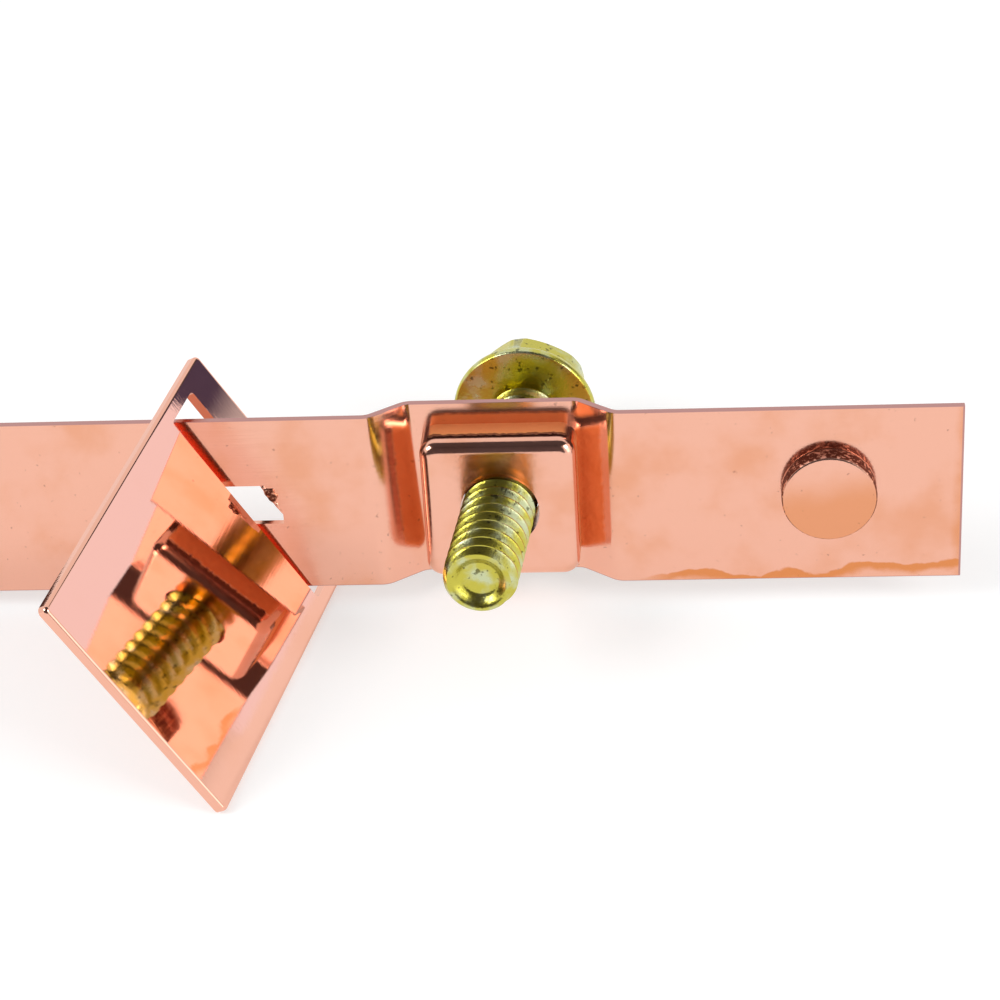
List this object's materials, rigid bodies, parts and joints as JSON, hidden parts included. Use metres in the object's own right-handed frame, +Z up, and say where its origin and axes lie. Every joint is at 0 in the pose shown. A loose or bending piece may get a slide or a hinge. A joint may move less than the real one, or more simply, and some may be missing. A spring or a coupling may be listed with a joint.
{
  "type": "copper ground strap",
  "caption": "Copper ground strap with a slotted keeper plate and a terminal screw in a square nut, for bonding a wire to a pipe.",
  "frame": {"origin": "under the middle of the part's box, on the surface it rests on", "axes": "+X along the strap towards its square end, -Y to the side the screw's tip points, +Z up"},
  "size_m": [0.1524, 0.0368, 0.0157],
  "materials": {
    "strap_copper": "bright rolled copper strip",
    "keeper_copper": "polished copper sheet",
    "nut_copper": "blanked and tumbled copper",
    "screw_zinc": "yellow zinc plated steel"
  },
  "bodies": {
    "strap_body": {"strap": "strap_copper", "terminal_nut": "nut_copper"},
    "screw": {"terminal_screw": "screw_zinc"},
    "keeper": {"keeper_plate": "keeper_copper"}
  },
  "joints": [
    {"name": "screw_travel", "type": "slide", "parent": "strap_body", "child": "screw", "axis": [-0.0819, -0.9769, 0.1974], "range_m": [-0.008, 0.008]},
    {"name": "keeper_slide", "type": "slide", "parent": "strap_body", "child": "keeper", "axis": [0.9998, 0, 0.0175], "range_m": [-0.085, 0.001]}
  ]
}
